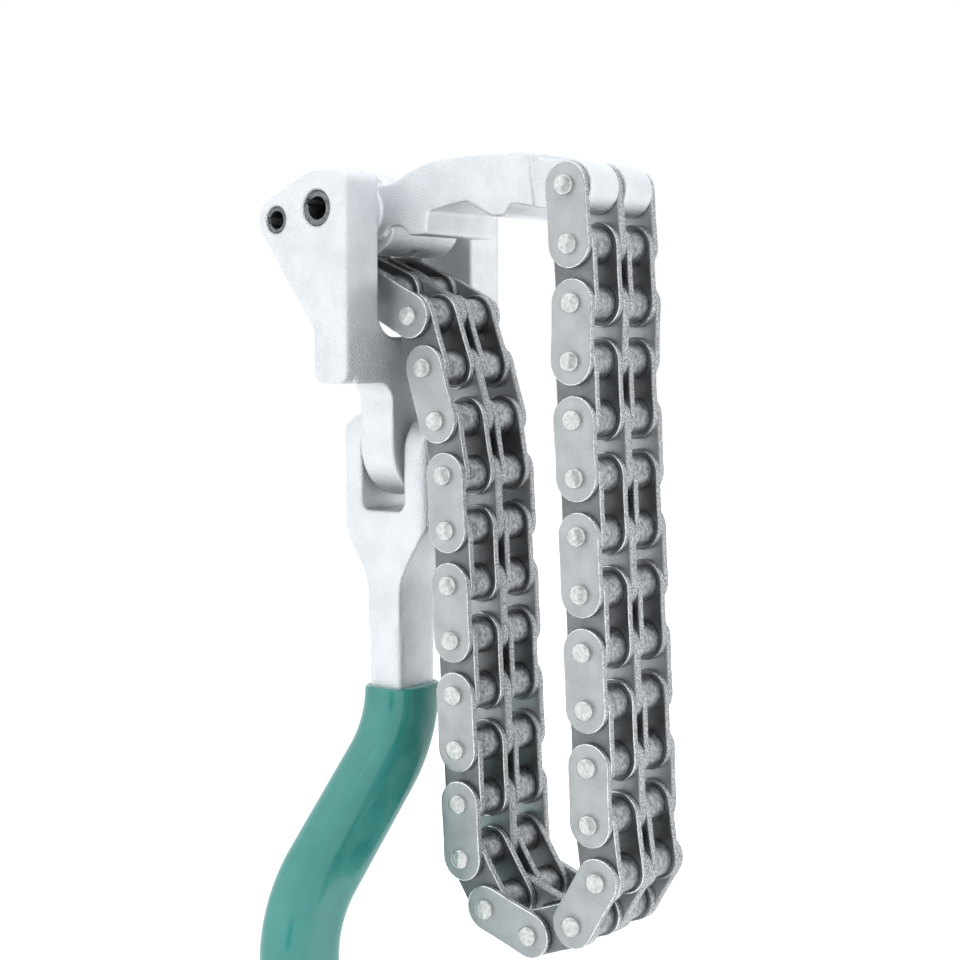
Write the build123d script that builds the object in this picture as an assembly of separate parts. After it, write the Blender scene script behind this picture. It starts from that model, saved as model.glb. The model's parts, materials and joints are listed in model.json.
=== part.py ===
from build123d import *
import math
import os

# Chain oil filter wrench. The drawing frame has its origin at the centre of the swivel pin:
# X along that pin, Y along the chain pins, Z up. All sizes are in millimetres and degrees.

# Duplex roller chain, half inch pitch
PITCH = 12.7
STRAND_PITCH = 13.92
PLATE_HEIGHT = 10.6
PLATE_WAIST = 0.1
PLATE_THICKNESS = 1.6
INTERMEDIATE_THICKNESS = 2.4
INNER_LINK_WIDTH = 11.3
OUTER_LINK_GAP = 11.43
INNER_WIDTH = 7.75
PIN_RADIUS = 2.225
PIN_END = 1.3
PIN_END_CHAMFER = 0.35
ROLLER_RADIUS = 4.255
RUNNING_FIT = 0.075

# Route of the chain: lean of each link from straight down, towards +X
RIGHT_TOP_LEANS = (4.5, 3.8, -0.8)
RIGHT_BOTTOM_LEAN = 2.3
LEFT_TOP_LEANS = (19.3, 17.2, 10.3)
STRAND_LEAN = 3.2
PARALLEL_LINKS = 7
ANCHOR_LEANS = (21.2, 67.5, 63.9)
BEND_LINKS = 5

# Head yoke
HEAD_WIDTH = 59.2
CHEEK_THICKNESS = 12.0
HEAD_THICKNESS = 10.0
HEAD_BOTTOM = 14.5
YOKE_FLOOR = 25.3
YOKE_FLOOR_FILLET = 6.0
CHEEK_WAIST = 27.0
CHEEK_TOP_FILLET = 3.0
PIVOT_X = -3.9
PIVOT_Z = 54.75
PIVOT_BOSS_RADIUS = 8.8
ANCHOR_BOSS_RADIUS = 5.6
HEAD_EDGE = 1.2

# Tongue of the head and the swivel pin
TONGUE_RADIUS = 13.0
TONGUE_FILLET = 4.5
SWIVEL_PIN_RADIUS = 4.0
SWIVEL_FIT = 0.06

# Spring pins
PIVOT_PIN_RADIUS = 4.0
PIVOT_PIN_BORE = 2.65
ANCHOR_PIN_RADIUS = 3.0
ANCHOR_PIN_BORE = 2.1
SPRING_PIN_SLOT = 1.5
SPRING_PIN_RECESS = 0.7
PIVOT_SLOT_ANGLE = 150.0
ANCHOR_SLOT_ANGLE = 180.0
HOLE_CHAMFER = 0.6
PIN_FIT = 0.05

# Jaw arm
ARM_REACH = 58.6
ARM_RISE = 3.25
ARM_WIDTH = 26.8
ARM_LUG_RADIUS = 5.9
ARM_LUG_GAP = 0.3
ARM_TOP = 7.9
ARM_NAPE = 2.9
ARM_HUB_RADIUS = 9.2
ARM_HUB_LOBE = (1.4, -2.0)
ARM_HUB_LOBE_RADIUS = 8.2
ARM_COLLAR_RADIUS = 6.4
ARM_SIDE_GAP = 0.3
ARM_EDGE = 0.8
HEEL_DEPTH = 9.3
HEEL_FRONT = 39.0
TOOTH_FRONT = 17.3
TOOTH_DEPTH = 5.9
TOOTH_WIDTH = 3.4
ROOF_DEPTH = 2.2
ARCH_RADIUS = 4.0
NOTCH_CORNER = 1.2
STEP_TOP = 11.5
STEP_BOTTOM = 7.9
# Crest line: shares of the arm's reach back from the tip and of its top height
ARM_CREST = ((0.862, 0.354), (0.768, 0.62), (0.648, 0.9), (0.495, 1.0), (0.307, 1.0), (0.137, 0.91))

# Handle fork and neck
FORK_WIDTH = 27.2
FORK_DEPTH = 22.0
FORK_SLOT = 13.0
FORK_TOP = 8.3
FORK_CORNER = 6.0
FORK_EDGE = 4.0
FORK_SLOT_BOTTOM = 16.0
FORK_SLOT_FILLET = 2.0
FORK_SHOULDER = 18.5
NECK_TOP = 32.5
FORK_SHOULDER_FILLET = 8.0
NECK_FILLET = 12.0
NECK_WIDTH = 10.0
NECK_DEPTH = 14.6
NECK_EDGE = 2.0
NECK_SETBACK = 3.5
NECK_JOIN = 44.0

# Crank of the handle and the dipped grip
CRANK_ANGLE = 46.0
CRANK_START = 70.0
CRANK_RUN = 52.0
CRANK_RADIUS = 26.0
HANDLE_STRAIGHT = 112.0
GRIP_START = 58.5
GRIP_WALL = 1.9
GRIP_EDGE = 5.0
GRIP_END_CAP = 3.0
GRIP_END_FILLET = 4.5
GRIP_FIT = 0.05


def lean_vector(lean, length=PITCH):
    """Vector of one link that hangs down and leans towards +X."""
    angle = math.radians(lean)
    return Vector(length * math.sin(angle), 0, -length * math.cos(angle))


def lean_of(vector):
    """Lean from straight down of a vector in the XZ plane."""
    return math.degrees(math.atan2(vector.X, -vector.Z))


# Pivots of the arm and of the chain's two ends
pivot = Vector(PIVOT_X, 0, PIVOT_Z)
tip = pivot + Vector(ARM_REACH, 0, ARM_RISE)
strand_leans = (STRAND_LEAN,) * PARALLEL_LINKS
right_leans = RIGHT_TOP_LEANS + strand_leans + (RIGHT_BOTTOM_LEAN,)
left_leans = LEFT_TOP_LEANS + strand_leans

# The anchor pin lies where the loop stays closed while the arm swings
anchor = pivot + sum((lean_vector(a) for a in right_leans), Vector(0, 0, 0))
anchor = anchor - sum((lean_vector(a) for a in left_leans), Vector(0, 0, 0)) - lean_vector(ANCHOR_LEANS[0])


def bend_leans(chord):
    """Leans of the links of the bottom bend: equal turns that span the chord."""
    low, high = 0.001, math.pi / BEND_LINKS
    for _ in range(60):
        half = (low + high) / 2
        if PITCH * math.sin(BEND_LINKS * half) / math.sin(half) > chord.length:
            low = half
        else:
            high = half
    turn = math.degrees(low + high)
    middle = (BEND_LINKS - 1) / 2
    return tuple(lean_of(chord) + (middle - i) * turn for i in range(BEND_LINKS))


def chain_points():
    """Pin centres from the arm tip round the loop to the anchor pin."""
    down = [tip]
    for lean in right_leans:
        down.append(down[-1] + lean_vector(lean))
    up = [anchor]
    for lean in ANCHOR_LEANS + left_leans:
        up.append(up[-1] + lean_vector(lean))
    bend = [down[-1]]
    for lean in bend_leans(up[-1] - down[-1]):
        bend.append(bend[-1] + lean_vector(lean))
    return down + bend[1:-1] + up[::-1]


# Places across the chain that its own pieces and the arm share
half_outer = STRAND_PITCH / 2 + OUTER_LINK_GAP / 2
half_chain = half_outer + PLATE_THICKNESS
inner_plate = (INNER_LINK_WIDTH - INNER_WIDTH) / 2
plate_inset = (INNER_LINK_WIDTH - inner_plate) / 2
yoke_half = HEAD_WIDTH / 2 - CHEEK_THICKNESS


def slab(outline, low, high):
    """Solid from an outline in the XZ plane between two values of Y."""
    return Pos(0, high, 0) * extrude(Plane.XZ * outline, high - low)


def chain_plate(middle, thickness, holes):
    """Waisted link plate along +X from a pin at the origin, with one hole radius per pin, 0 for none."""
    half = PLATE_HEIGHT / 2
    outline = []
    for side in (1, -1):
        waist = (PITCH / 2, side * (half - PLATE_WAIST))
        outline.append(ThreePointArc((0, side * half), waist, (PITCH, side * half)))
    outline.append(ThreePointArc((0, half), (-half, 0), (0, -half)))
    outline.append(ThreePointArc((PITCH, half), (PITCH + half, 0), (PITCH, -half)))
    plate = make_face(outline)
    for x, radius in zip((0, PITCH), holes):
        if radius:
            plate -= Pos(x, 0) * Circle(radius)
    return slab(plate, middle - thickness / 2, middle + thickness / 2)


def chain_pin(x):
    """Riveted pin across both strands."""
    reach = half_chain + PIN_END
    pin = slab(Pos(x, 0) * Circle(PIN_RADIUS), -reach, reach)
    return chamfer(pin.edges().filter_by(GeomType.CIRCLE), PIN_END_CHAMFER)


def outer_link(first_hole=0.0):
    """Outer link: two outer plates and the intermediate plate on two riveted pins."""
    holes = (first_hole, 0)
    link = chain_plate(0, INTERMEDIATE_THICKNESS, holes)
    for side in (-1, 1):
        link += chain_plate(side * (half_outer + PLATE_THICKNESS / 2), PLATE_THICKNESS, holes)
    for x in (PITCH,) if first_hole else (0, PITCH):
        link += chain_pin(x)
    return link


def inner_link():
    """Inner link: for each strand, two plates held apart by rollers on bushes."""
    bore = PIN_RADIUS + RUNNING_FIT
    link = []
    for side in (-1, 1):
        middle = side * STRAND_PITCH / 2
        strand = chain_plate(middle - plate_inset, inner_plate, (bore, bore))
        strand += chain_plate(middle + plate_inset, inner_plate, (bore, bore))
        for x in (0, PITCH):
            roller = Pos(x, 0) * (Circle(ROLLER_RADIUS) - Circle(bore))
            strand += slab(roller, middle - INNER_WIDTH / 2, middle + INNER_WIDTH / 2)
        link.append(strand)
    return Compound(link)


def spring_pin(place, radius, bore, slot_angle):
    """Slotted spring pin across the head."""
    reach = HEAD_WIDTH / 2 - SPRING_PIN_RECESS
    ring = Circle(radius) - Circle(bore)
    ring -= Rot(0, 0, slot_angle) * Pos(radius, 0) * Rectangle(2 * (radius - bore) + bore, SPRING_PIN_SLOT)
    return Pos(place) * slab(ring, -reach, reach)


def cross_bore(place, radius, reach, mouth=0.0):
    """Cutter for a hole along Y through a place, with a chamfered mouth at each end."""
    cutter = slab(Circle(radius), -reach, reach)
    if mouth:
        for side in (-1, 1):
            cone = Cone(radius, radius + mouth, mouth)
            cutter += Pos(0, side * (reach - mouth / 2), 0) * Rot(-side * 90, 0, 0) * cone
    return Pos(place) * cutter


def head_yoke():
    """Forged head: two cheeks on a bridge, with the swivel tongue below."""
    front = HEAD_THICKNESS / 2
    top = PIVOT_Z + PIVOT_BOSS_RADIUS
    corner = Pos(front - CHEEK_TOP_FILLET, top - CHEEK_TOP_FILLET) * Circle(CHEEK_TOP_FILLET)
    boss = Pos(pivot.X, pivot.Z) * Circle(PIVOT_BOSS_RADIUS)
    ear = Pos(anchor.X, anchor.Z) * Circle(ANCHOR_BOSS_RADIUS)
    foot = Pos(0, CHEEK_WAIST) * Rectangle(HEAD_THICKNESS, 0.5)
    cheek = make_hull(corner.edges() + boss.edges() + ear.edges() + foot.edges())
    block_height = CHEEK_WAIST - HEAD_BOTTOM + 4
    block = Pos(0, HEAD_BOTTOM + block_height / 2) * Rectangle(HEAD_THICKNESS, block_height)
    half = HEAD_WIDTH / 2
    head = slab(cheek + block, -half, half)
    inside_height = top - YOKE_FLOOR + 20
    inside = Pos(0, YOKE_FLOOR + inside_height / 2) * RectangleRounded(
        2 * yoke_half, inside_height, YOKE_FLOOR_FILLET
    )
    head -= extrude(Plane.YZ * inside, 60, both=True)
    head = fillet(head.edges().filter_by(Axis.Y).group_by(Axis.Z)[0], 2.5)
    lips = head.edges().filter_by(lambda e: abs(abs(e.center().Y) - half) < 0.01)
    head = fillet(lips, HEAD_EDGE)
    stem = Pos(0, HEAD_BOTTOM / 2 + 1) * Rectangle(2 * TONGUE_RADIUS, HEAD_BOTTOM + 2)
    bridge = Pos(0, HEAD_BOTTOM + 2) * Rectangle(HEAD_WIDTH - 8, 4)
    tongue = Circle(TONGUE_RADIUS) + stem + bridge
    inner_corners = tongue.vertices().filter_by(
        lambda v: abs(abs(v.X) - TONGUE_RADIUS) < 0.01 and abs(v.Y - HEAD_BOTTOM) < 0.01
    )
    tongue = fillet(inner_corners, TONGUE_FILLET)
    tongue -= Circle(SWIVEL_PIN_RADIUS + SWIVEL_FIT)
    head += extrude(Plane.YZ * tongue, HEAD_THICKNESS / 2, both=True)
    head -= cross_bore(pivot, PIVOT_PIN_RADIUS + PIN_FIT, half, HOLE_CHAMFER)
    head -= cross_bore(anchor, ANCHOR_PIN_RADIUS + PIN_FIT, half, HOLE_CHAMFER)
    return head


def in_notch(x, z):
    """Whether a place of the arm, seen from its tip, lies along the notch from the heel to the tooth."""
    return -HEEL_FRONT - NOTCH_CORNER < x < -TOOTH_FRONT + 2 + NOTCH_CORNER and z < 0


def jaw_arm():
    """Forged arm: a hub between the cheeks, a notched body and two lugs between the chain plates."""
    hub_x = -ARM_REACH
    hub_z = -ARM_RISE
    crest = [(-ARM_REACH * back, ARM_TOP * height) for back, height in ARM_CREST]
    top_line = Spline((hub_x + 4, ARM_NAPE), *crest, (0, ARM_LUG_RADIUS), tangents=[(1, 0), (1, 0)])
    rest = Polyline(
        (0, ARM_LUG_RADIUS),
        (0, -ARM_LUG_RADIUS),
        (-TOOTH_FRONT + 2, -3.2),
        (-TOOTH_FRONT, -TOOTH_DEPTH),
        (-TOOTH_FRONT - TOOTH_WIDTH, -TOOTH_DEPTH),
        (-28.0, -ROOF_DEPTH),
        (-HEEL_FRONT + 0.8, -3.9),
        (-HEEL_FRONT, -HEEL_DEPTH),
        (hub_x + 4, -HEEL_DEPTH),
        (hub_x + 4, ARM_NAPE),
    )
    body = make_face(top_line + rest)
    body = fillet(body.vertices().filter_by(lambda v: in_notch(v.X, v.Y)), NOTCH_CORNER)
    body -= Pos(hub_x + 10.3, -HEEL_DEPTH - 1.5) * Circle(ARCH_RADIUS)
    body += Circle(ARM_LUG_RADIUS)
    arm = slab(body, -ARM_WIDTH / 2, ARM_WIDTH / 2)
    lips = arm.edges().filter_by(lambda e: abs(abs(e.center().Y) - ARM_WIDTH / 2) < 0.01)
    arm = fillet(lips.filter_by(lambda e: in_notch(e.center().X, e.center().Z)), ARM_EDGE)

    # The front end narrows behind a slanted step, into two lugs
    reach = 2 * ARM_LUG_RADIUS
    nose = make_face(
        Polyline((-STEP_TOP, 12), (-STEP_BOTTOM, -12), (reach, -12), (reach, 12), (-STEP_TOP, 12))
    )
    lug_outside = half_outer - ARM_LUG_GAP
    lug_inside = INTERMEDIATE_THICKNESS / 2 + ARM_LUG_GAP
    for side in (-1, 1):
        arm -= slab(nose, *sorted((side * lug_outside, side * ARM_WIDTH)))
    arm -= slab(Pos(1, 0) * Rectangle(16, 30), -lug_inside, lug_inside)

    # Hub: a barrel between the end link's outer plates, grooved for its intermediate plate
    barrel = Circle(ARM_HUB_RADIUS) + Pos(*ARM_HUB_LOBE) * Circle(ARM_HUB_LOBE_RADIUS)
    hub = slab(barrel, -lug_outside, lug_outside)
    collar = slab(Circle(ARM_COLLAR_RADIUS), -yoke_half + ARM_SIDE_GAP, yoke_half - ARM_SIDE_GAP)
    arm += Pos(hub_x, 0, hub_z) * (hub + collar)
    groove = slab(Circle(ARM_HUB_RADIUS + 8) - Circle(ARM_COLLAR_RADIUS), -lug_inside, lug_inside)
    groove &= Pos(-10, 0, -12) * Box(32, 10, 34)
    arm -= Pos(hub_x, 0, hub_z) * groove
    arm -= Pos(hub_x, 0, hub_z) * cross_bore((0, 0, 0), PIVOT_PIN_RADIUS + PIN_FIT, yoke_half)
    arm -= cross_bore((0, 0, 0), PIN_RADIUS + RUNNING_FIT, ARM_WIDTH)
    return Pos(tip) * arm


def handle_path():
    """Centre line of the neck and handle from the fork down."""
    turn = math.radians(CRANK_ANGLE)
    start = Vector(0, -NECK_SETBACK, -NECK_JOIN)
    first = Vector(0, -NECK_SETBACK, -CRANK_START)
    second = first + Vector(0, -math.sin(turn), -math.cos(turn)) * CRANK_RUN
    end = second + Vector(0, 0, -HANDLE_STRAIGHT)
    return start, first, second, end


def swept_bar(points, width, depth, edge):
    """Bar with rounded corners along a path with filleted bends, the first run straight down."""
    path = FilletPolyline(*points, radius=CRANK_RADIUS)
    section = Plane(origin=points[0], x_dir=(1, 0, 0), z_dir=(0, 0, -1)) * RectangleRounded(width, depth, edge)
    return sweep(section, path)


def handle():
    """Forged handle: the fork for the tongue, tapering into a cranked bar."""
    half = FORK_WIDTH / 2
    neck = NECK_WIDTH / 2
    front_points = [
        (half, FORK_TOP),
        (half, -FORK_SHOULDER),
        (neck, -NECK_TOP),
        (neck, -NECK_JOIN),
    ]
    mirrored = [(-x, z) for x, z in reversed(front_points)]
    front_view = make_face(Polyline(*front_points, *mirrored, front_points[0]))
    for x, z, radius in (
        (half, FORK_TOP, FORK_CORNER),
        (half, -FORK_SHOULDER, FORK_SHOULDER_FILLET),
        (neck, -NECK_TOP, NECK_FILLET),
    ):
        corners = front_view.vertices().filter_by(
            lambda v: abs(abs(v.X) - x) < 0.01 and abs(v.Y - z) < 0.01
        )
        front_view = fillet(corners, radius)
    deep = FORK_DEPTH / 2
    neck_back = NECK_DEPTH / 2 - NECK_SETBACK
    neck_front = -NECK_DEPTH / 2 - NECK_SETBACK
    side_view = make_face(
        Polyline(
            (-deep, FORK_TOP - deep),
            (deep, FORK_TOP - deep),
            (deep, -FORK_SHOULDER),
            (neck_back, -NECK_TOP),
            (neck_back, -NECK_JOIN),
            (neck_front, -NECK_JOIN),
            (neck_front, -NECK_TOP),
            (-deep, -FORK_SHOULDER),
            (-deep, FORK_TOP - deep),
        )
    )
    back_corners = side_view.vertices().filter_by(
        lambda v: abs(v.X - deep) < 0.01 and abs(v.Y + FORK_SHOULDER) < 0.01
    )
    side_view = fillet(back_corners, FORK_SHOULDER_FILLET)
    side_view += Pos(0, FORK_TOP - deep) * Circle(deep)
    fork = extrude(Plane.XZ * front_view, FORK_WIDTH, both=True)
    fork &= extrude(Plane.YZ * side_view, FORK_WIDTH, both=True)
    fork &= extrude(RectangleRounded(FORK_WIDTH, FORK_DEPTH, FORK_EDGE), 2 * NECK_JOIN, both=True)
    bar = swept_bar(handle_path(), NECK_WIDTH, NECK_DEPTH, NECK_EDGE)
    body = fork + bar
    slot_height = FORK_SLOT_BOTTOM + FORK_TOP + 10
    slot = Pos(0, -FORK_SLOT_BOTTOM + slot_height / 2) * RectangleRounded(
        FORK_SLOT, slot_height, FORK_SLOT_FILLET
    )
    body -= extrude(Plane.XZ * slot, FORK_DEPTH, both=True)
    body -= Rot(0, 90, 0) * Cylinder(SWIVEL_PIN_RADIUS + PIN_FIT, FORK_WIDTH + 10)
    return body


def swivel_pin():
    """Riveted pin through the fork's ears and the tongue."""
    pin = Rot(0, 90, 0) * Cylinder(SWIVEL_PIN_RADIUS, FORK_WIDTH - 0.4)
    return chamfer(pin.edges().filter_by(GeomType.CIRCLE), 0.5)


def vinyl_grip():
    """Dipped grip: a closed sleeve that follows the cranked bar."""
    start, first, second, end = handle_path()
    mouth = Vector(0, start.Y, -GRIP_START)
    tail = end + Vector(0, 0, -GRIP_END_CAP)
    outside = swept_bar(
        (mouth, first, second, tail),
        NECK_WIDTH + 2 * GRIP_WALL,
        NECK_DEPTH + 2 * GRIP_WALL,
        GRIP_EDGE,
    )
    outside = fillet(outside.faces().sort_by(Axis.Z)[0].edges(), GRIP_END_FILLET)
    core = swept_bar(
        (start, first, second, end + Vector(0, 0, -GRIP_FIT)),
        NECK_WIDTH + 2 * GRIP_FIT,
        NECK_DEPTH + 2 * GRIP_FIT,
        NECK_EDGE + GRIP_FIT,
    )
    return outside - core


def place_link(shape, first, second):
    """Turn a link so that it runs from the first pin to the second."""
    along = second - first
    return Pos(first) * Rot(0, -math.degrees(math.atan2(along.Z, along.X)), 0) * shape


# The row frame's origin is the middle of the straight hand grip
grip_end = handle_path()[3]
row_origin = Vector(0, grip_end.Y, grip_end.Z + HANDLE_STRAIGHT * 0.45)

pieces = {
    "handle": handle(),
    "vinyl_grip": vinyl_grip(),
    "swivel_pin": swivel_pin(),
    "head_yoke": head_yoke(),
    "jaw_arm": jaw_arm(),
    "arm_pivot_spring_pin": spring_pin(pivot, PIVOT_PIN_RADIUS, PIVOT_PIN_BORE, PIVOT_SLOT_ANGLE),
    "chain_anchor_spring_pin": spring_pin(anchor, ANCHOR_PIN_RADIUS, ANCHOR_PIN_BORE, ANCHOR_SLOT_ANGLE),
}

points = chain_points()
outer = outer_link()
inner = inner_link()
for index in range(len(points) - 2):
    kind = "inner" if index % 2 else "outer"
    shape = inner if index % 2 else outer
    name = f"{kind}_link_{index // 2 + 1:02d}"
    pieces[name] = place_link(shape, points[index], points[index + 1])
anchor_link = outer_link(first_hole=ANCHOR_PIN_RADIUS + RUNNING_FIT)
pieces["anchor_link"] = place_link(anchor_link, points[-1], points[-2])

os.makedirs("parts", exist_ok=True)
for name, shape in pieces.items():
    export_step(Pos(-row_origin) * shape, f"parts/{name}.step")
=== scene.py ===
import json
import math

import bmesh
import bpy
import numpy as np
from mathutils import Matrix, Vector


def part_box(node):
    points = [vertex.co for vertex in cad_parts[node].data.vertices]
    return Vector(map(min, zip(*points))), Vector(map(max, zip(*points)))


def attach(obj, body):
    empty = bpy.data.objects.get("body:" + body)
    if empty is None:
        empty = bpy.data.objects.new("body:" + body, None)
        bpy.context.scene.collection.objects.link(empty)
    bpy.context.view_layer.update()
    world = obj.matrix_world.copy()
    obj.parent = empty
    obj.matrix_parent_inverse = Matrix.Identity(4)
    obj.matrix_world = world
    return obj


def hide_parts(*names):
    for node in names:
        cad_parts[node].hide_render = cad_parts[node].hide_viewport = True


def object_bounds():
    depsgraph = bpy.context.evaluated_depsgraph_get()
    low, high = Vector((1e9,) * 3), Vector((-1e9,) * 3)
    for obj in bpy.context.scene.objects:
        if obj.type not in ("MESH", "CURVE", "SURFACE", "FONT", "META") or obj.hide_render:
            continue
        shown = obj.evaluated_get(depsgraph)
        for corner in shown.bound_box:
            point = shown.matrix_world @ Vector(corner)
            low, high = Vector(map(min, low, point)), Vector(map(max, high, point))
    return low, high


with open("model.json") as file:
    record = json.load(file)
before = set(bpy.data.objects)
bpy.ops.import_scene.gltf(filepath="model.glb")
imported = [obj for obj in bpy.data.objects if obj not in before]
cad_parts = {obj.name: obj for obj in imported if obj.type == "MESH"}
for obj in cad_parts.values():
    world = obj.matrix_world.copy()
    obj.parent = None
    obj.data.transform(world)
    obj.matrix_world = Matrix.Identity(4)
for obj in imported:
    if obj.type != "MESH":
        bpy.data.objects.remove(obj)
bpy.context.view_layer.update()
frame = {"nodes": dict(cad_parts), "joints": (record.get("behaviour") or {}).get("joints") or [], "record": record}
MM = 0.001


# Head yoke
# The head is a drop forging in one piece: two thick cheeks on a bridge, with the swivel tongue below.
# It is shot blasted and plated, which leaves a pale satin skin with a fine pebble and soft edges.
PLATED_PALE = (0.79, 0.805, 0.82, 1)
PLATED_DEEP = (0.71, 0.725, 0.74, 1)
CLOUD_SIZE = 7 * MM
CLOUD_RELIEF = 0.10 * MM
PEBBLE_SIZE = 0.34 * MM
PEBBLE_RELIEF = 0.25 * MM
HEAD_VOXEL = 0.42 * MM
HEAD_PASSES = 6


def new_finish(name, metallic, roughness):
    """Material with an empty node tree around one shader, and its Object coordinates."""
    finish = bpy.data.materials.new(name)
    finish.use_nodes = True
    nodes, links = finish.node_tree.nodes, finish.node_tree.links
    shader = nodes["Principled BSDF"]
    shader.inputs["Metallic"].default_value = metallic
    shader.inputs["Roughness"].default_value = roughness
    place = nodes.new("ShaderNodeTexCoord").outputs["Object"]
    return finish, nodes, links, shader, place


def grain(nodes, links, place, size, detail=2.0, rough=0.55):
    """Noise whose blotches are about as wide as size, in metres, read at a place."""
    noise = nodes.new("ShaderNodeTexNoise")
    noise.inputs["Scale"].default_value = 1 / size
    noise.inputs["Detail"].default_value = detail
    noise.inputs["Roughness"].default_value = rough
    links.new(place, noise.inputs["Vector"])
    return noise.outputs["Fac"]


def ramp(nodes, links, value, stops):
    """Colour ramp over a value: stops are pairs of position and colour."""
    node = nodes.new("ShaderNodeValToRGB")
    bar = node.color_ramp.elements
    while len(bar) < len(stops):
        bar.new(0.5)
    for element, (position, colour) in zip(bar, stops):
        element.position = position
        element.color = colour
    links.new(value, node.inputs["Fac"])
    return node.outputs["Color"]


def spread(nodes, links, value, old_range, new_range):
    """Value moved from one range to another and held at its ends."""
    node = nodes.new("ShaderNodeMapRange")
    for socket, number in zip(("From Min", "From Max", "To Min", "To Max"), old_range + new_range):
        node.inputs[socket].default_value = number
    links.new(value, node.inputs["Value"])
    return node.outputs["Result"]


def relief(nodes, links, height, depth, under=None):
    """Bump of a height that is worth depth, in metres, on top of another relief."""
    bump = nodes.new("ShaderNodeBump")
    bump.inputs["Distance"].default_value = depth
    links.new(height, bump.inputs["Height"])
    if under:
        links.new(under, bump.inputs["Normal"])
    return bump.outputs["Normal"]


def plated_forging():
    """Satin plating over a blasted forging: pale steel, cloudy by a few millimetres, pebbled all over."""
    finish, nodes, links, shader, place = new_finish("plated_forging", metallic=1.0, roughness=0.4)
    cloud = grain(nodes, links, place, CLOUD_SIZE, detail=3)
    pebble = grain(nodes, links, place, PEBBLE_SIZE, detail=2, rough=0.6)
    colour = ramp(nodes, links, cloud, ((0.3, PLATED_DEEP), (0.6, PLATED_PALE)))
    links.new(colour, shader.inputs["Base Color"])
    satin = spread(nodes, links, pebble, (0.35, 0.65), (0.30, 0.46))
    links.new(satin, shader.inputs["Roughness"])
    waves = relief(nodes, links, cloud, CLOUD_RELIEF)
    links.new(relief(nodes, links, pebble, PEBBLE_RELIEF, waves), shader.inputs["Normal"])
    return finish


def soften(node, voxel, passes):
    """Soft edges: a CAD node's skin is made even, then smoothed so that its edges round off."""
    piece = frame["nodes"][node]
    skin = piece.modifiers.new("even_skin", "REMESH")
    skin.mode = "VOXEL"
    skin.voxel_size = voxel
    skin.use_smooth_shade = True
    blast = piece.modifiers.new("blasted_edges", "SMOOTH")
    blast.factor = 0.5
    blast.iterations = passes


def dress(node, finish):
    """Give a CAD node one finish on all its faces."""
    mesh = frame["nodes"][node].data
    mesh.materials.clear()
    mesh.materials.append(finish)


forging = plated_forging()
soften("head_yoke", HEAD_VOXEL, HEAD_PASSES)
dress("head_yoke", forging)


# Jaw arm
# The arm is a forging of the same steel and finish as the head. Its hub turns between the cheeks,
# and two lugs at its tip carry the first link of the chain.
ARM_VOXEL = 0.36 * MM
ARM_PASSES = 5
soften("jaw_arm", ARM_VOXEL, ARM_PASSES)
dress("jaw_arm", forging)


# Handle
# The handle is forged from one bar, with the same finish: a fork for the tongue at its top, then a
# tapering shoulder, a square neck and the cranked bar inside the grip.
HANDLE_VOXEL = 0.46 * MM
HANDLE_PASSES = 5
soften("handle", HANDLE_VOXEL, HANDLE_PASSES)
dress("handle", forging)


# Swivel pin and spring pins
# The swivel pin is a plain riveted pin. The two spring pins are rolled from dark tempered strip,
# which leaves the open slot that shows at each end.
BROKEN_EDGE = 0.15 * MM
JOIN_DISTANCE = 0.002 * MM
SHARP_ANGLE = math.radians(35)


def tempered_strip():
    """Dark oiled spring steel with a worn rim."""
    finish, nodes, links, shader, place = new_finish("tempered_strip", metallic=1.0, roughness=0.36)
    mottle = grain(nodes, links, place, 1.2 * MM, detail=3)
    dark, light = (0.10, 0.105, 0.11, 1), (0.26, 0.27, 0.275, 1)
    links.new(ramp(nodes, links, mottle, ((0.35, dark), (0.7, light))), shader.inputs["Base Color"])
    links.new(relief(nodes, links, mottle, 0.03 * MM), shader.inputs["Normal"])
    return finish


def break_edges(node, width):
    """Broken edges on a turned CAD node: its loose triangles are joined and its sharp edges bevelled."""
    piece = frame["nodes"][node]
    weld = piece.modifiers.new("joined_skin", "WELD")
    weld.merge_threshold = JOIN_DISTANCE
    bevel = piece.modifiers.new("broken_edges", "BEVEL")
    bevel.width = width
    bevel.segments = 2
    bevel.limit_method = "ANGLE"
    bevel.angle_limit = SHARP_ANGLE
    bevel.harden_normals = True


spring_steel = tempered_strip()
for node in ("arm_pivot_spring_pin", "chain_anchor_spring_pin"):
    dress(node, spring_steel)
    break_edges(node, BROKEN_EDGE)
dress("swivel_pin", forging)


# Duplex roller chain
# Half inch roller chain with two strands. Outer links are three blanked plates on two riveted pins,
# inner links are pairs of thicker plates with a roller at each pin. It is bare oiled steel: tumbled
# plate faces and sheared sides that keep the punch's torn grain. The rolled-over edges carry a painted
# highlight, and the inner plates and rollers a darker grey that is painted shade between the plates.
PLATE_HALF = 5.3 * MM
WAIST = 0.1 * MM
STRAND_HALF = 6.96 * MM
OUTER_PLATE = (14.275 * MM, 12.675 * MM)
MIDDLE_PLATE = (1.2 * MM, -1.2 * MM)
INNER_PLATES = ((3.085 * MM, 1.31 * MM), (12.61 * MM, 10.835 * MM))
ROLLER_HALF = 3.8 * MM
ROLLER_RADIUS = 4.255 * MM
ROLLER_SIDES = 32
PIN_RADIUS = 2.225 * MM
PIN_REACH = 15.575 * MM
PIN_SIDES = 28
LINK_PAIRS = 14
# Finish number of a quad, which is its place in the list of a link's finishes.
FACE, SIDE, TURNED, EDGE = 0, 1, 2, 3
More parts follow.
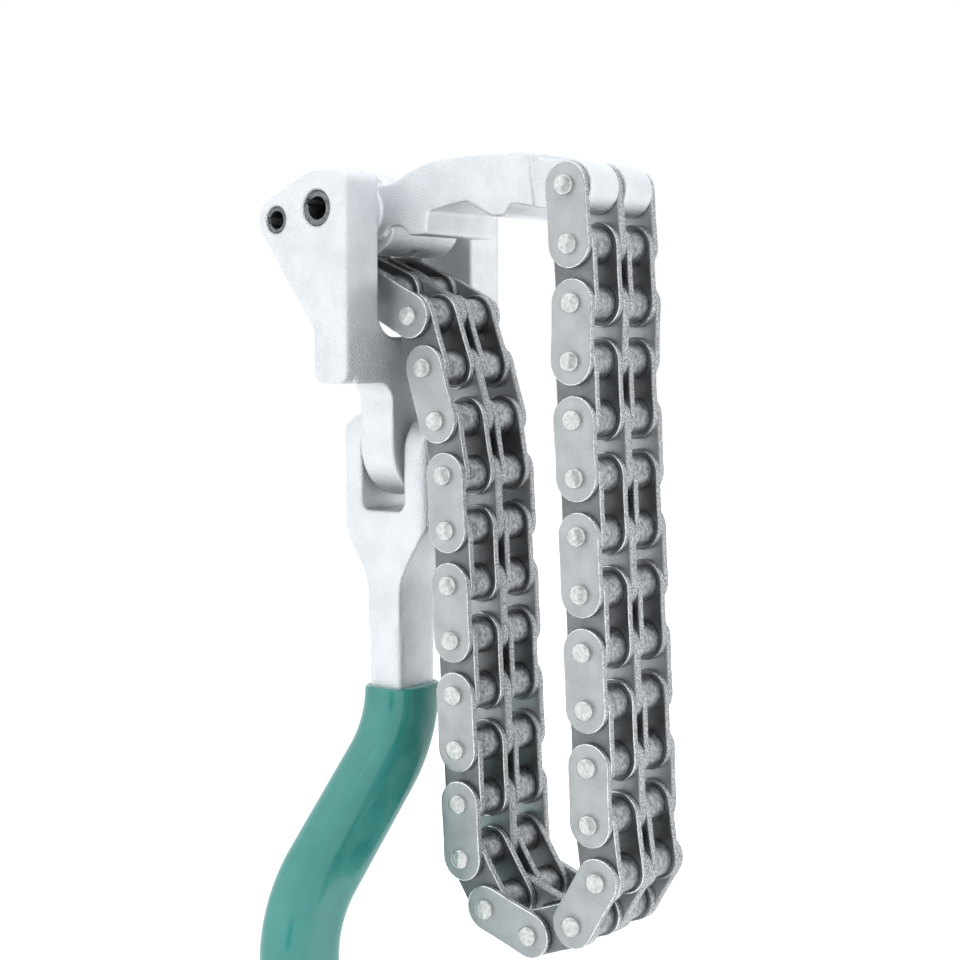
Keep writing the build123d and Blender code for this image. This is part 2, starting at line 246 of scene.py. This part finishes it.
# Rings of a plate, from the middle of one face round its side to the middle of the other: how far
# in from the outline, as a share of half its height, and how far across, as a share of its thickness.
PLATE_RINGS = (
    (1, 0),
    (0.45, 0),
    (0.12, 0),
    (0.05, 0.02),
    (0.015, 0.07),
    (0.003, 0.15),
    (0, 0.28),
    (0.004, 0.42),
    (0.008, 0.56),
    (0.006, 0.70),
    (0.012, 0.88),
    (0.04, 0.985),
    (0.12, 1),
    (0.45, 1),
    (1, 1),
)
SIDE_ROWS = slice(3, 11)
# The edge row takes the painted highlight of the rolled-over edge.
EDGE_ROW = 3
TORN_RINGS = slice(5, 11)
TEAR_DEPTH = 0.01 * MM
# Rings of a pin's end: how far back from its end, in millimetres, and the share of its radius.
PIN_RINGS = (
    (0, 0),
    (0, 0.2),
    (0, 0.4),
    (0, 0.6),
    (0, 0.78),
    (0.04, 0.9),
    (0.15, 0.98),
    (0.35, 1),
    (0.8, 1),
    (2.0, 1),
)
STRIKE_CHORD = 0.1 * PIN_RADIUS
STRIKE_SLOPE = 0.32
STRIKE_DEPTH = 0.5 * MM
STRIKE_TURN = 0.35
MERGE_DISTANCE = 0.0005 * MM
wear = np.random.default_rng(8)


def link_pins(node, start):
    """Centres (x, z) of a link's pins, first the one near start: half a plate's height inside its box.
    The four corners are listed as the two diagonals, so that a corner's partner is the other of its pair."""
    low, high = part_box(node)
    left, right = low[0] + PLATE_HALF, high[0] - PLATE_HALF
    bottom, top = low[2] + PLATE_HALF, high[2] - PLATE_HALF
    ends = np.array([(left, bottom), (right, top), (left, top), (right, bottom)])
    first = np.argmin(np.hypot(*(ends - start).T))
    return ends[first], ends[first ^ 1]


def grid_faces(rows, columns):
    """Quads of a grid that closes round its columns: each joins a point to its next ones."""
    row, column = np.mgrid[0 : rows - 1, 0:columns]
    after = (column + 1) % columns
    this_row, next_row = row * columns, (row + 1) * columns
    corners = (this_row + column, this_row + after, next_row + after, next_row + column)
    return np.stack(corners, axis=-1).reshape(-1, 4)


def plate_skin(start, end, sides):
    """Blanked plate between two values of Y, its rolled-over face first. Round the outline, each point
    stands off the line between the pins by half the plate's height, less a waist that is the square of
    a sine along the plate. Across it, that distance follows the plate's rings, and a random tear is
    taken off on the sheared side."""
    arc, run = np.arange(0, 180, 13), np.arange(0, 1, 0.1)
    straight = np.full(run.size, 90)
    turn = np.radians(np.concatenate((arc - 90, straight, arc + 90, straight + 180)))
    along = np.concatenate((np.ones(arc.size), 1 - run, np.zeros(arc.size), run))
    height = PLATE_HALF - WAIST * np.sin(np.pi * along) ** 2
    inset, level = np.array(PLATE_RINGS).T
    tear = np.zeros((level.size, turn.size))
    tear[TORN_RINGS] = np.abs(wear.normal(0, TEAR_DEPTH, tear[TORN_RINGS].shape))
    reach = height * (1 - inset[:, None]) - tear
    line = end - start
    off = np.array((-line[1], line[0])) / np.hypot(*line)
    out = np.cos(turn)[:, None] * line / np.hypot(*line) + np.sin(turn)[:, None] * off
    flat = start + along[:, None] * line + reach[:, :, None] * out
    y = np.broadcast_to((sides[0] + (sides[1] - sides[0]) * level)[:, None], reach.shape)
    points = np.stack((flat[..., 0], y, flat[..., 1]), axis=-1).reshape(-1, 3)
    kinds = np.full((level.size - 1, turn.size), FACE)
    kinds[SIDE_ROWS] = SIDE
    kinds[EDGE_ROW] = EDGE
    return points, grid_faces(level.size, turn.size), kinds.ravel()


def turned_skin(centre, profile, sides):
    """Turned part about a line along Y: its radius follows a profile of pairs of Y and radius."""
    level, radius = np.array(profile).T
    angle = np.linspace(0, 2 * np.pi, sides, endpoint=False)
    x = centre[0] + radius[:, None] * np.cos(angle)
    z = centre[1] + radius[:, None] * np.sin(angle)
    y = np.broadcast_to(level[:, None], x.shape)
    points = np.stack((x, y, z), axis=-1).reshape(-1, 3)
    faces = grid_faces(level.size, sides)
    return points, faces, np.full(len(faces), TURNED)


def rivet_skin(centre):
    """Riveted pin: a turned part whose two end faces each fall away beyond a chord, where the staking
    punch struck. The fall grows with the distance past the chord, and fades out along the pin."""
    points, faces, kinds = turned_skin(centre, pin_profile, PIN_SIDES)
    for side in (-1, 1):
        angle = wear.normal(0, STRIKE_TURN)
        across = (points[:, 0] - centre[0]) * np.cos(angle) + (points[:, 2] - centre[1]) * np.sin(angle)
        past = np.clip(across - STRIKE_CHORD, 0, None)
        at_end = np.clip((side * points[:, 1] - PIN_REACH) / STRIKE_DEPTH + 1, 0, 1)
        points[:, 1] -= side * STRIKE_SLOPE * past * at_end
    return points, faces, kinds


def solid_piece(name, skins, finishes):
    """One mesh object from several closed skins, each of points, quads and a finish number per quad."""
    starts = np.cumsum([0] + [len(points) for points, _, _ in skins])
    points = np.concatenate([skin[0] for skin in skins]) + (0, chain_middle, 0)
    faces = np.concatenate([skin[1] + start for skin, start in zip(skins, starts)])
    kinds = np.concatenate([skin[2] for skin in skins])
    mesh = bpy.data.meshes.new(name)
    mesh.from_pydata(points.tolist(), [], faces.tolist())
    mesh.polygons.foreach_set("material_index", kinds.astype(np.int32))
    shape = bmesh.new()
    shape.from_mesh(mesh)
    bmesh.ops.remove_doubles(shape, verts=shape.verts, dist=MERGE_DISTANCE)
    bmesh.ops.recalc_face_normals(shape, faces=shape.faces)
    shape.to_mesh(mesh)
    shape.free()
    mesh.shade_smooth()
    for finish in finishes:
        mesh.materials.append(finish)
    piece = bpy.data.objects.new(name, mesh)
    bpy.context.scene.collection.objects.link(piece)
    return piece


def mirrored(sides):
    """The same two values of Y on the other strand."""
    return -sides[0], -sides[1]


def tumbled_steel(name, dark, light):
    """Plate faces: grey steel, faintly cloudy, with fine dents from tumbling."""
    finish, nodes, links, shader, place = new_finish(name, metallic=1.0, roughness=0.42)
    cloud = grain(nodes, links, place, 5 * MM, detail=4)
    dents = grain(nodes, links, place, 0.5 * MM, detail=3, rough=0.6)
    links.new(ramp(nodes, links, cloud, ((0.3, dark), (0.7, light))), shader.inputs["Base Color"])
    gloss = spread(nodes, links, dents, (0.35, 0.65), (0.36, 0.5))
    links.new(gloss, shader.inputs["Roughness"])
    links.new(relief(nodes, links, dents, 0.03 * MM), shader.inputs["Normal"])
    return finish


def sheared_steel():
    """Plate sides: the torn grain of the punch, bright peaks over dark pits."""
    finish, nodes, links, shader, place = new_finish("sheared_steel", metallic=1.0, roughness=0.34)
    tear = grain(nodes, links, place, 0.3 * MM, detail=3, rough=0.7)
    pit, torn, peak = (0.14, 0.144, 0.15, 1), (0.40, 0.405, 0.415, 1), (0.74, 0.75, 0.76, 1)
    stops = ((0.40, pit), (0.50, torn), (0.60, peak))
    links.new(ramp(nodes, links, tear, stops), shader.inputs["Base Color"])
    links.new(relief(nodes, links, tear, 0.2 * MM), shader.inputs["Normal"])
    return finish


def edge_highlight_steel():
    """Rolled-over edges of the plates: a near white grey that is a painted highlight along the edge, with duller
    patches.
    """
    finish, nodes, links, shader, place = new_finish("edge_highlight_steel", metallic=1.0, roughness=0.25)
    rub = grain(nodes, links, place, 1.5 * MM, detail=3)
    dull, bright = (0.55, 0.56, 0.57, 1), (0.90, 0.91, 0.92, 1)
    links.new(ramp(nodes, links, rub, ((0.35, dull), (0.55, bright))), shader.inputs["Base Color"])
    return finish


def pin_steel():
    """Rivet ends: a little brighter than the plates, with the grain of the cut bar."""
    finish, nodes, links, shader, place = new_finish("pin_steel", metallic=1.0, roughness=0.3)
    mottle = grain(nodes, links, place, 0.8 * MM, detail=3)
    dark, light = (0.46, 0.47, 0.455, 1), (0.70, 0.71, 0.69, 1)
    links.new(ramp(nodes, links, mottle, ((0.3, dark), (0.65, light))), shader.inputs["Base Color"])
    links.new(relief(nodes, links, mottle, 0.04 * MM), shader.inputs["Normal"])
    return finish


def shaded_roller_steel():
    """Rollers: hardened and tumbled, a dark grey that is painted shade between the plates, with small pale scuffs.
    """
    finish, nodes, links, shader, place = new_finish("shaded_roller_steel", metallic=1.0, roughness=0.42)
    scuff = grain(nodes, links, place, 1.1 * MM, detail=5, rough=0.65)
    # Painted shade: the dark grey stands in for the shade where the rollers sit between the plates.
    dark, light = (0.17, 0.175, 0.185, 1), (0.50, 0.51, 0.52, 1)
    links.new(ramp(nodes, links, scuff, ((0.35, dark), (0.68, light))), shader.inputs["Base Color"])
    links.new(relief(nodes, links, scuff, 0.05 * MM), shader.inputs["Normal"])
    return finish


outer_face = tumbled_steel("outer_plate_steel", (0.39, 0.40, 0.405, 1), (0.48, 0.49, 0.495, 1))
# Painted shade: the inner plates get a much darker grey than the outer ones, for the shade between the outer
# plates.
shaded_inner_face = tumbled_steel("inner_plate_painted_shade", (0.16, 0.165, 0.17, 1), (0.24, 0.245, 0.25, 1))
side_steel = sheared_steel()
# Painted highlight: the plates' rolled-over edges are coloured near white, for the light they catch.
painted_highlight_edge = edge_highlight_steel()
outer_finishes = (outer_face, side_steel, pin_steel(), painted_highlight_edge)
inner_finishes = (shaded_inner_face, side_steel, shaded_roller_steel(), painted_highlight_edge)

pin_half = [(PIN_REACH - back * MM, PIN_RADIUS * share) for back, share in PIN_RINGS]
pin_profile = [(-y, r) for y, r in pin_half] + pin_half[::-1]
roller_half = [
    (ROLLER_HALF, PIN_RADIUS),
    (ROLLER_HALF, ROLLER_RADIUS - 0.35 * MM),
    (ROLLER_HALF - 0.1 * MM, ROLLER_RADIUS - 0.1 * MM),
    (ROLLER_HALF - 0.35 * MM, ROLLER_RADIUS),
]
roller_profile = [(-y, r) for y, r in roller_half] + roller_half[::-1]
roller_profile.append(roller_profile[0])

bodies = frame["record"]["behaviour"]["bodies"]
body_of_node = {node: body for body, members in bodies.items() for node in members}


def stand_in(piece, node):
    """Put a dressed link in the place of its CAD node, on the same body."""
    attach(piece, body_of_node[node])
    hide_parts(node)


def dress_outer_link(node, start, end):
    """Outer link: two outer plates and the middle plate on two pins."""
    plates = (mirrored(OUTER_PLATE), MIDDLE_PLATE, OUTER_PLATE)
    skins = [plate_skin(start, end, sides) for sides in plates]
    skins += [rivet_skin(centre) for centre in (start, end)]
    stand_in(solid_piece(f"{node}_plates_and_pins", skins, outer_finishes), node)


def dress_inner_link(node, start, end):
    """Inner link: two pairs of plates with a roller at each pin."""
    plates = INNER_PLATES + tuple(mirrored(sides) for sides in INNER_PLATES)
    skins = [plate_skin(start, end, sides) for sides in plates]
    for middle in (-STRAND_HALF, STRAND_HALF):
        profile = [(middle + y, r) for y, r in roller_profile]
        skins += [turned_skin(centre, profile, ROLLER_SIDES) for centre in (start, end)]
    stand_in(solid_piece(f"{node}_plates_and_rollers", skins, inner_finishes), node)


tip = next(joint["pos_m"] for joint in frame["joints"] if joint["name"] == "tip_link_pivot")
chain_middle = tip[1]
pin = np.array((tip[0], tip[2]))
for number in range(1, LINK_PAIRS + 1):
    node = f"outer_link_{number:02d}"
    start, pin = link_pins(node, pin)
    dress_outer_link(node, start, pin)
    node = f"inner_link_{number:02d}"
    start, pin = link_pins(node, pin)
    dress_inner_link(node, start, pin)
dress_outer_link("anchor_link", *link_pins("anchor_link", pin))


# Vinyl grip
# The handle is dipped in green vinyl, which leaves a glossy skin about 2 mm thick with soft corners,
# a rolled lip at its mouth and a rounded end.
VINYL_DEEP = (0.024, 0.215, 0.183, 1)
VINYL_PALE = (0.04, 0.268, 0.235, 1)
GRIP_VOXEL = 0.5 * MM
GRIP_PASSES = 14


def dipped_vinyl():
    """Green vinyl: glossy, cloudy by a little, with small shallow waves from the dip."""
    finish, nodes, links, shader, place = new_finish("dipped_vinyl", metallic=0.0, roughness=0.16)
    cloud = grain(nodes, links, place, 12 * MM, detail=2)
    skin = grain(nodes, links, place, 2.2 * MM, detail=2)
    colour = ramp(nodes, links, cloud, ((0.3, VINYL_DEEP), (0.7, VINYL_PALE)))
    links.new(colour, shader.inputs["Base Color"])
    gloss = spread(nodes, links, skin, (0.3, 0.7), (0.12, 0.22))
    links.new(gloss, shader.inputs["Roughness"])
    links.new(relief(nodes, links, skin, 0.03 * MM), shader.inputs["Normal"])
    shader.inputs["Coat Weight"].default_value = 0.4
    shader.inputs["Coat Roughness"].default_value = 0.08
    return finish


dress("vinyl_grip", dipped_vinyl())
soften("vinyl_grip", GRIP_VOXEL, GRIP_PASSES)


# Floor, room, lamps and camera
# White paper lies under the grip's end. The room is bright all round, but for a dark round patch in
# front of the tool and one behind it, which its metal reflects, and the camera sees plain white
# instead. Two large soft boxes stand at the front left and overhead.
FLOOR_HALF = 3.0
GLOW_ON_TOOL = 0.15
GLOW_TO_CAMERA = 0.6
ROOM_BRIGHT = (1.15, 1.19, 1.22, 1)
ROOM_DARK = (0.04, 0.05, 0.055, 1)
PATCH_AXIS = (0.17, -0.98, 0.0)
PATCH_RIM = 0.93
PATCH_CORE = 0.99
HEAD_MIDDLE = (0.02, 0.04, 0.17)
LENS = 67.67
EYE_PLACE = (0.27685, -0.29806, 0.19295)
EYE_DIP = 4.523
EYE_TURN = 37.04

floor_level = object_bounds()[0][2]
floor_corners = ((-1, -1), (1, -1), (1, 1), (-1, 1))
floor_mesh = bpy.data.meshes.new("floor")
floor_mesh.from_pydata(
    [(x * FLOOR_HALF, y * FLOOR_HALF, floor_level) for x, y in floor_corners], [], [(0, 1, 2, 3)]
)
floor = bpy.data.objects.new("floor", floor_mesh)
bpy.context.scene.collection.objects.link(floor)
paper, nodes, links, shader, _ = new_finish("white_paper", metallic=0.0, roughness=0.9)
shader.inputs["Base Color"].default_value = (0.9, 0.9, 0.9, 1)
shader.inputs["Emission Color"].default_value = (1, 1, 1, 1)
camera_ray = nodes.new("ShaderNodeLightPath").outputs["Is Camera Ray"]
glow = spread(nodes, links, camera_ray, (0, 1), (GLOW_ON_TOOL, GLOW_TO_CAMERA))
links.new(glow, shader.inputs["Emission Strength"])
floor_mesh.materials.append(paper)

world = bpy.data.worlds.new("studio")
bpy.context.scene.world = world
world.use_nodes = True
nodes, links = world.node_tree.nodes, world.node_tree.links
facing = nodes.new("ShaderNodeVectorMath")
facing.operation = "DOT_PRODUCT"
facing.inputs[1].default_value = PATCH_AXIS
links.new(nodes.new("ShaderNodeTexCoord").outputs["Generated"], facing.inputs[0])
either_way = nodes.new("ShaderNodeMath")
either_way.operation = "ABSOLUTE"
links.new(facing.outputs["Value"], either_way.inputs[0])
room_stops = ((PATCH_RIM, ROOM_BRIGHT), (PATCH_CORE, ROOM_DARK))
room = ramp(nodes, links, either_way.outputs[0], room_stops)
view_ray = nodes.new("ShaderNodeLightPath")
# The colour sockets of a Mix node: two colours are its inputs 6 and 7, the result is its output 2.
pick = nodes.new("ShaderNodeMix")
pick.data_type = "RGBA"
links.new(view_ray.outputs["Is Camera Ray"], pick.inputs["Factor"])
links.new(room, pick.inputs[6])
pick.inputs[7].default_value = (1, 1, 1, 1)
links.new(pick.outputs[2], nodes["Background"].inputs["Color"])


def soft_box(name, place, target, size, power):
    """Square area lamp turned towards a target: tilted by the height over the flat distance, and
    turned by the flat direction."""
    lamp = bpy.data.lights.new(name, "AREA")
    lamp.size = size
    lamp.energy = power
    box = bpy.data.objects.new(name, lamp)
    box.location = place
    aim = np.array(target) - place
    flat = math.hypot(aim[0], aim[1])
    box.rotation_euler = (math.pi / 2 + math.atan2(aim[2], flat), 0, math.atan2(-aim[0], aim[1]))
    bpy.context.scene.collection.objects.link(box)


soft_box("front_left_box", (-0.55, -0.75, 0.45), HEAD_MIDDLE, size=0.7, power=0.25)
soft_box("top_box", (0.1, 0.1, 1.0), HEAD_MIDDLE, size=0.8, power=1.2)

camera = bpy.data.cameras.new("camera")
camera.sensor_width = 36
camera.lens = LENS
camera.clip_start = 0.01
eye = bpy.data.objects.new("camera", camera)
eye.location = EYE_PLACE
eye.rotation_euler = (math.radians(90 - EYE_DIP), 0, math.radians(EYE_TURN))
bpy.context.scene.collection.objects.link(eye)
bpy.context.scene.camera = eye
bpy.context.scene.view_settings.view_transform = "Standard"
